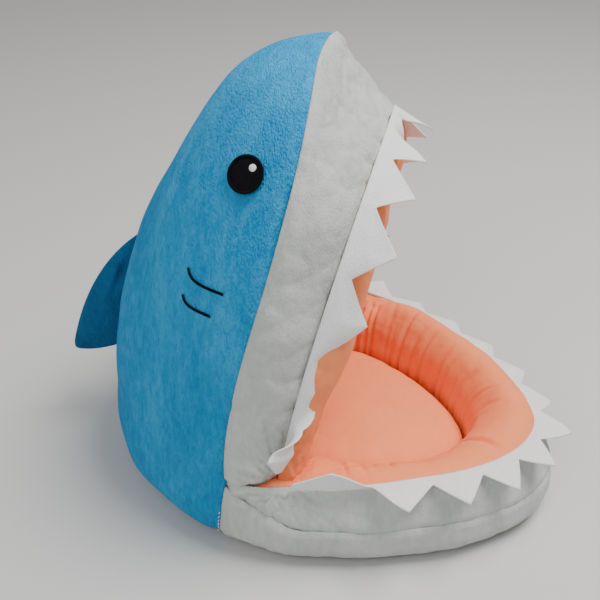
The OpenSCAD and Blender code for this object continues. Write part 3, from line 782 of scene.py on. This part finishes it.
print("making the teeth")
upperPiece, upperLength, upperArea = makeTeeth(
    "upperTeethFelt", upperTeeth, np.radians(np.linspace(1.5, 178.5, 400)),
    lambda a: mouthEdge(a) + 0.0006 * bandFrame(a)[1], upperFrame)
lowerPiece, lowerLength, lowerArea = makeTeeth(
    "lowerTeethFelt", lowerTeeth, np.radians(np.linspace(3, 177, 400)),
    lowerEdge, lowerFrame)
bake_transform(upperPiece)
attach(lowerPiece, "base")
for piece, sizes, length, area, node in ((upperPiece, upperTeeth, upperLength, upperArea, "upper_teeth"),
                                         (lowerPiece, lowerTeeth, lowerLength, lowerArea, "lower_teeth")):
    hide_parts(node)

# dorsal fin

fin = {"low": 0.094, "high": 0.236, "reach": 0.063, "thick": 0.028, "rows": 70, "cols": 80, "gap": 0.0045,
       "sink": 0.0075, "dimple": 0.005, "lump": 0.0018, "lumpSize": 0.035, "crease": 0.0012,
       "creaseSize": 0.022, "axisHeight": 0.16}


def ridgeY(z):
    p = head["backHigh"]
    return head["depth"] * power(1 - power((z - headZ) / domeHeight, p), 1 / p)


def bend(a, c, b, t):
    return mix(mix(a, c, t), mix(c, b, t), t)


def finPoint(v, w):
    # v runs from the root to the tip, w from the leading edge to the trailing edge
    tip = np.array([head["depth"] + fin["reach"], fin["low"] - 0.008])
    top = np.array([ridgeY(fin["high"]) + fin["gap"], fin["high"]])
    foot = np.array([ridgeY(fin["low"]) + fin["gap"], fin["low"]])
    v2, w2 = v[..., None], w[..., None]
    lead = bend(top, tip + [-0.028, 0.104], tip, v2)
    trail = bend(foot, tip + [-0.030, -0.010], tip + [-0.010, -0.012], v2)
    rootZ = mix(fin["high"], fin["low"], w)
    root = np.stack([ridgeY(rootZ) + fin["gap"] - fin["sink"], rootZ], axis=-1)
    line = mix(top, foot, w2)
    rounded = np.array([0.005, -0.005]) * np.sin(math.pi * w2) * v2 ** 8
    return mix(lead, trail, w2) + (root - line) * (1 - v2) + rounded


def finHalf(v, w):
    # thin at its two edges and its tip, and pinched at the root
    across = power(np.sin(math.pi * w), 0.6)
    return fin["thick"] / 2 * across * mix(0.45, 1, ease(v / 0.3)) * power(1 - v ** 2.2, 0.6)


def makeFin():
    v, w = meshGrid(np.linspace(0, 1, fin["rows"]), (1 - np.cos(np.linspace(0, math.pi, fin["cols"]))) / 2)
    place = finPoint(v, w)
    half = finHalf(v, w)
    sides = []
    for side in (-1, 1):
        grid = stack(side * half, place[..., 0], place[..., 1])
        lumps = fin["lump"] * cloudNoise(grid, fin["lumpSize"], 61 + side)
        lumps = lumps + fin["crease"] * (creaseNoise(grid, fin["creaseSize"], 63 + side) - 0.5)
        hollow = bell(v - 0.16, 0.05) * bell(w - 0.30, 0.10)
        dent = fin["dimple"] * (hollow - 0.5 * bell(v - 0.30, 0.08) * bell(w - 0.36, 0.12))
        edge = np.minimum(1, half / 0.006)
        grid[..., 0] = side * np.maximum(0, half + (lumps - dent) * edge)
        sides.append(grid)
    return shell("dorsalFinPlush", sides[0] + centre, sides[1] + centre, finPlush)


print("making the fin")
finPiece = makeFin()
finAxisY, finAxisZ = centre[1] + ridgeY(fin["axisHeight"]), fin["axisHeight"]
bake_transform(finPiece)
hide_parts("fin_stuffing", "fin_right_face", "fin_left_face")

# eyes, gills and stitches


def headSide(y, z):
    # a point on the outside of the right half of the head, from its y and z
    s = 0.5
    for _ in range(14):
        s = (z - headZ) / domeHeight / backScale(y, s)
    x = -halfWidth * backScale(y, s) * power(1 - power(s, head["sideCurve"]), 1 / head["sideCurve"])
    return np.array([float(x), y, z])


def headSideOut(y, z):
    step = 0.0015
    upward = headSide(y, z + step) - headSide(y, z - step)
    return unit(np.cross(upward, headSide(y + step, z) - headSide(y - step, z)))


def makeThreadTree():
    # short satin stitches laid side by side across a line
    tree = bpy.data.node_groups.new("satinStitches", "GeometryNodeTree")
    for name, kind, value in (("Geometry", "NodeSocketGeometry", None),
                              ("Spacing", "NodeSocketFloat", 0.0007),
                              ("Stitch Length", "NodeSocketFloat", 0.003),
                              ("Thread Radius", "NodeSocketFloat", 0.0004),
                              ("Lean", "NodeSocketFloat", 0.15),
                              ("Jitter", "NodeSocketFloat", 0.12),
                              ("Thread", "NodeSocketMaterial", None)):
        socket = tree.interface.new_socket(name=name, in_out="INPUT", socket_type=kind)
        if value is not None:
            socket.default_value = value
    tree.interface.new_socket(name="Geometry", in_out="OUTPUT", socket_type="NodeSocketGeometry")
    node, link = tree.nodes.new, tree.links.new
    into, out = node("NodeGroupInput"), node("NodeGroupOutput")
    line = node("GeometryNodeMeshToCurve")
    link(into.outputs["Geometry"], line.inputs["Mesh"])
    spread = node("GeometryNodeResampleCurve")
    spread.mode = "LENGTH"
    link(line.outputs["Curve"], spread.inputs["Curve"])
    link(into.outputs["Spacing"], spread.inputs["Length"])
    thread = node("GeometryNodeMeshUVSphere")
    thread.inputs["Segments"].default_value = 6
    thread.inputs["Rings"].default_value = 6
    thread.inputs["Radius"].default_value = 1.0
    lift = node("GeometryNodeInputNamedAttribute")
    lift.data_type = "FLOAT_VECTOR"
    lift.inputs["Name"].default_value = "lift"
    upright = node("FunctionNodeAlignRotationToVector")
    upright.axis = "Z"
    link(lift.outputs["Attribute"], upright.inputs["Vector"])
    ahead = node("GeometryNodeInputTangent")
    facing = node("FunctionNodeAlignRotationToVector")
    facing.axis = "Y"
    facing.pivot_axis = "Z"
    link(upright.outputs["Rotation"], facing.inputs["Rotation"])
    link(ahead.outputs["Tangent"], facing.inputs["Vector"])
    wobble = node("FunctionNodeRandomValue")
    wobble.inputs["Seed"].default_value = 5
    link(into.outputs["Jitter"], wobble.inputs[3])
    lean = node("ShaderNodeMath")
    lean.operation = "ADD"
    link(into.outputs["Lean"], lean.inputs[0])
    link(wobble.outputs[1], lean.inputs[1])
    spin = node("ShaderNodeCombineXYZ")
    link(lean.outputs["Value"], spin.inputs["Z"])
    turned = node("FunctionNodeRotateRotation")
    turned.rotation_space = "LOCAL"
    angles = node("FunctionNodeEulerToRotation")
    link(spin.outputs["Vector"], angles.inputs["Euler"])
    link(facing.outputs["Rotation"], turned.inputs["Rotation"])
    link(angles.outputs["Rotation"], turned.inputs["Rotate By"])
    size = node("ShaderNodeCombineXYZ")
    half = node("ShaderNodeMath")
    half.operation = "MULTIPLY"
    half.inputs[1].default_value = 0.5
    link(into.outputs["Stitch Length"], half.inputs[0])
    link(half.outputs["Value"], size.inputs["X"])
    link(into.outputs["Thread Radius"], size.inputs["Y"])
    link(into.outputs["Thread Radius"], size.inputs["Z"])
    place = node("GeometryNodeInstanceOnPoints")
    link(spread.outputs["Curve"], place.inputs["Points"])
    link(thread.outputs["Mesh"], place.inputs["Instance"])
    link(turned.outputs["Rotation"], place.inputs["Rotation"])
    link(size.outputs["Vector"], place.inputs["Scale"])
    real = node("GeometryNodeRealizeInstances")
    link(place.outputs["Instances"], real.inputs["Geometry"])
    soft = node("GeometryNodeSetShadeSmooth")
    link(real.outputs["Geometry"], soft.inputs["Geometry"])
    paint = node("GeometryNodeSetMaterial")
    link(soft.outputs["Geometry"], paint.inputs["Geometry"])
    link(into.outputs["Thread"], paint.inputs["Material"])
    link(paint.outputs["Geometry"], out.inputs["Geometry"])
    return tree


threadTree = makeThreadTree()


def sewStitches(name, points, lifts, thread, **sizes):
    # runs the stitch tree along a line of points and keeps the result as a plain mesh
    mesh = bpy.data.meshes.new(name + "Line")
    mesh.from_pydata([tuple(p) for p in points], [(i, i + 1) for i in range(len(points) - 1)], [])
    attribute = mesh.attributes.new("lift", "FLOAT_VECTOR", "POINT")
    attribute.data.foreach_set("vector", np.asarray(lifts, np.float32).ravel())
    line = bpy.data.objects.new(name + "Line", mesh)
    bpy.context.scene.collection.objects.link(line)
    modifier = line.modifiers.new("stitches", "NODES")
    modifier.node_group = threadTree
    for item in threadTree.interface.items_tree:
        if item.in_out == "INPUT" and item.name in sizes:
            modifier[item.identifier] = sizes[item.name]
        if item.in_out == "INPUT" and item.name == "Thread":
            modifier[item.identifier] = thread
    seen = line.evaluated_get(bpy.context.evaluated_depsgraph_get())
    result = bpy.data.meshes.new_from_object(seen)
    line.modifiers.clear()
    bpy.data.objects.remove(line)
    result.name = name
    piece = bpy.data.objects.new(name, result)
    bpy.context.scene.collection.objects.link(piece)
    return piece


eye = {"y": 0.195 * head["depth"], "z": headZ + 0.772 * domeHeight, "radius": 0.016, "wide": 1.12,
       "rim": 0.0026, "lift": 0.0022, "glint": 0.0031, "glintAt": (-0.0045, 0.0064)}
gills = [{"y": 0.41, "z": 0.545, "size": 1.0}, {"y": 0.43, "z": 0.480, "size": 0.8}]
satin = {"Spacing": 0.00062, "Stitch Length": 0.0030, "Thread Radius": 0.0006}


def gillPath(gill):
    # an arc that runs forwards and flattens out
    t = np.linspace(0, 1, 40)
    y = gill["y"] * head["depth"] - gill["size"] * (0.009 * t + 0.026 * t ** 2.6)
    z = headZ + gill["z"] * domeHeight - gill["size"] * 0.0085 * (1 - (1 - t) ** 3)
    return list(zip(y.tolist(), z.tolist()))


def eyeFrame():
    middle = headSide(eye["y"], eye["z"])
    out = headSideOut(eye["y"], eye["z"])
    up = unit(np.array([0, 0, 1.0]) - out[2] * out)
    return middle, out, up, eye["wide"] * np.cross(out, up)


def dome(name, middle, out, up, side, radius, rise, material, sideSign):
    r, q = meshGrid(np.linspace(0, 1, 14), np.linspace(0, 2 * math.pi, 49)[:-1])
    q = q[..., None]
    flatPoint = middle + radius * r[..., None] * (np.cos(q) * up + np.sin(q) * side)
    top = flatPoint + out * (rise * (1 - r ** 2.5))[..., None]
    bottom = flatPoint - out * 0.0012
    rows = np.transpose(top, (1, 0, 2))
    base = np.transpose(bottom, (1, 0, 2))
    flip = np.array([sideSign, 1, 1])
    return shell(name, rows * flip + centre, base * flip + centre, material, closedRows=True)


print("making the eyes and gills")
for sideName, sideSign in (("right", 1), ("left", -1)):
    flip = np.array([sideSign, 1, 1])
    middle, out, up, side = eyeFrame()
    patch = dome(sideName + "EyePatch", middle + out * 0.0016, out, up, side, eye["radius"] - 0.0012, 0.0012,
                 blackThread, sideSign)
    ringAngles = np.linspace(0, 2 * math.pi, 97)[:, None]
    ring = middle + out * eye["lift"] + (eye["radius"] - eye["rim"] / 2) * (np.cos(ringAngles) * up
                                                                            + np.sin(ringAngles) * side)
    rim = sewStitches(sideName + "EyeRim", ring * flip + centre, np.repeat((out * flip)[None], 97, 0),
                      blackThread, **satin)
    spot = middle + out * 0.0026 + eye["glintAt"][0] * side + eye["glintAt"][1] * up
    glint = dome(sideName + "EyeGlint", spot, out, up, side, eye["glint"], 0.0008, whiteThread, sideSign)
    threads = []
    for number, gill in enumerate(gills):
        path = gillPath(gill)
        points = np.array([headSide(y, z) + headSideOut(y, z) * 0.0012 for y, z in path])
        outs = np.array([headSideOut(y, z) for y, z in path])
        threads.append(sewStitches(f"{sideName}Gill{number}", points * flip + centre, outs * flip,
                                   blackThread, **satin))
    first = threads[0]
    shape = bmesh.new()
    for piece in threads:
        shape.from_mesh(piece.data)
    shape.to_mesh(first.data)
    shape.free()
    bpy.data.objects.remove(threads[1])
    first.name = sideName + "GillStitches"
    for piece, node, slotName in ((patch, "eye_patch", "black_thread"), (rim, "eye_rim", "black_thread"),
                                  (glint, "eye_glint", "white_thread"),
                                  (first, "gill_stitches", "black_thread")):
        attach(piece, "hood")
        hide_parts(f"{sideName}_{node}")

closing = {"low": 0.55, "high": 1.15, "out": 0.0008}
handStitch = {"Spacing": 0.0050, "Stitch Length": 0.0042, "Thread Radius": 0.0004, "Lean": 0.7, "Jitter": 0.9}
zs = np.linspace(jaw["sideSeam"] * closing["low"], jaw["sideSeam"] * closing["high"], 30)
seamPoints = np.array([sidePoint(-cheekAngle(z), z) for z in zs])
seamOuts = np.array([(-1.0, 0.25, 0.0)] * len(zs))
closingStitches = sewStitches("closingStitches", seamPoints + np.array([-closing["out"], 0, 0]) + centre,
                              seamOuts, whiteThread, **handStitch)
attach(closingStitches, "base")
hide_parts("closing_stitches")

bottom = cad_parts["bottom_panel"]
bottom.data.materials.clear()
bottom.data.materials.append(baseCloth)

# floor, light and camera

floorMaterial = bpy.data.materials.new("paleFloor")
floorMaterial.use_nodes = True
floorShader = floorMaterial.node_tree.nodes["Principled BSDF"]
floorShader.inputs["Base Color"].default_value = (0.62, 0.62, 0.61, 1)
floorShader.inputs["Roughness"].default_value = 0.6
floor = finishMesh("floor", [(-4, -4, 0), (4, -4, 0), (4, 4, 0), (-4, 4, 0)], [(0, 1, 2, 3)], floorMaterial)

world = bpy.data.worlds.new("studio")
bpy.context.scene.world = world
world.use_nodes = True
world.node_tree.nodes["Background"].inputs["Color"].default_value = (0.62, 0.60, 0.58, 1)
world.node_tree.nodes["Background"].inputs["Strength"].default_value = 0.64

lights = [
    {"name": "topLight", "at": (0.15, -0.8, 2.1), "size": 1.2, "power": 56, "colour": (1.0, 0.98, 0.95)},
    {"name": "sideLight", "at": (-1.5, 0.5, 1.5), "size": 1.2, "power": 12, "colour": (0.95, 0.98, 1.0)},
]
for light in lights:
    data = bpy.data.lights.new(light["name"], "AREA")
    data.shape = "DISK"
    data.size = light["size"]
    data.energy = light["power"]
    data.color = light["colour"]
    lamp = bpy.data.objects.new(light["name"], data)
    lamp.location = light["at"]
    lamp.rotation_euler = (Vector((0, 0, 0.15)) - Vector(light["at"])).to_track_quat("-Z", "Y").to_euler()
    bpy.context.scene.collection.objects.link(lamp)

camera = {"at": (-0.7089, -0.1357, 0.640), "yaw": 11.8, "pitch": 32.8, "lens": 51.0, "sensor": 36.0}
cameraData = bpy.data.cameras.new("camera")
cameraData.lens = camera["lens"]
cameraData.sensor_width = camera["sensor"]
cameraObject = bpy.data.objects.new("camera", cameraData)
cameraObject.location = camera["at"]
yaw, pitch = math.radians(camera["yaw"]), math.radians(camera["pitch"])
looking = Vector((math.cos(pitch) * math.cos(yaw), math.cos(pitch) * math.sin(yaw), -math.sin(pitch)))
cameraObject.rotation_euler = looking.to_track_quat("-Z", "Y").to_euler()
bpy.context.scene.collection.objects.link(cameraObject)
bpy.context.scene.camera = cameraObject
